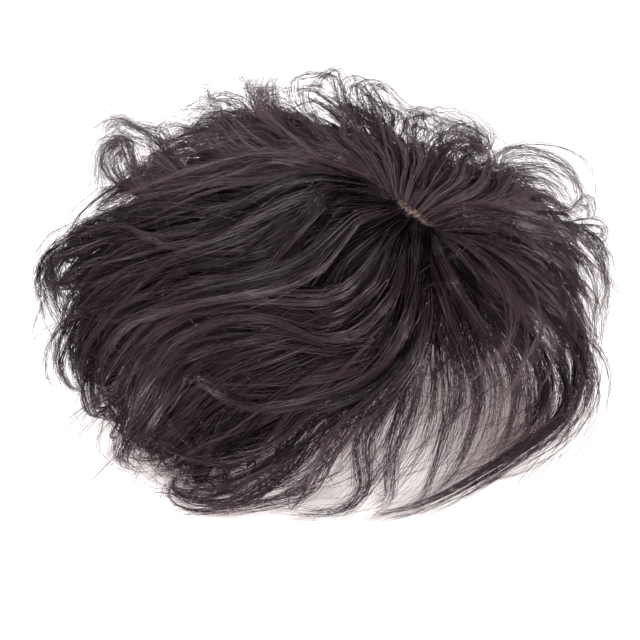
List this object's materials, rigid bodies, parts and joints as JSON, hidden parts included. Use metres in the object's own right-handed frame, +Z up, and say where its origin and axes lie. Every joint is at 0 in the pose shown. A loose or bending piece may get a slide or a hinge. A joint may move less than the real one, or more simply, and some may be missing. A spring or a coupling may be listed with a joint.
{
  "type": "wavy clip-in hairpiece",
  "caption": "Wavy dark brown hair topper with a side parting, lying on a surface: locks in sections on a shallow net base with clips under it.",
  "frame": {"origin": "on the surface that the hairpiece lies on, under the middle of its bounding box", "axes": "+Z up from the surface, +X to the right and +Y to the back for someone who looks at the fringe"},
  "size_m": [0.3132, 0.2932, 0.0717],
  "materials": {
    "hair": "satin dark brown hair",
    "base_net": "matte woven net",
    "parting_silk": "matte skin-coloured silk",
    "clip_metal": "black enamel"
  },
  "bodies": {
    "root": {"base_cap": "base_net", "parting_strip": "parting_silk", "clip_front": "clip_metal", "clip_right": "clip_metal", "clip_back": "clip_metal", "clip_left": "clip_metal", "hair_left": "hair", "hair_sweep": "hair", "hair_fringe": "hair", "hair_right": "hair", "hair_back": "hair"}
  },
  "joints": []
}
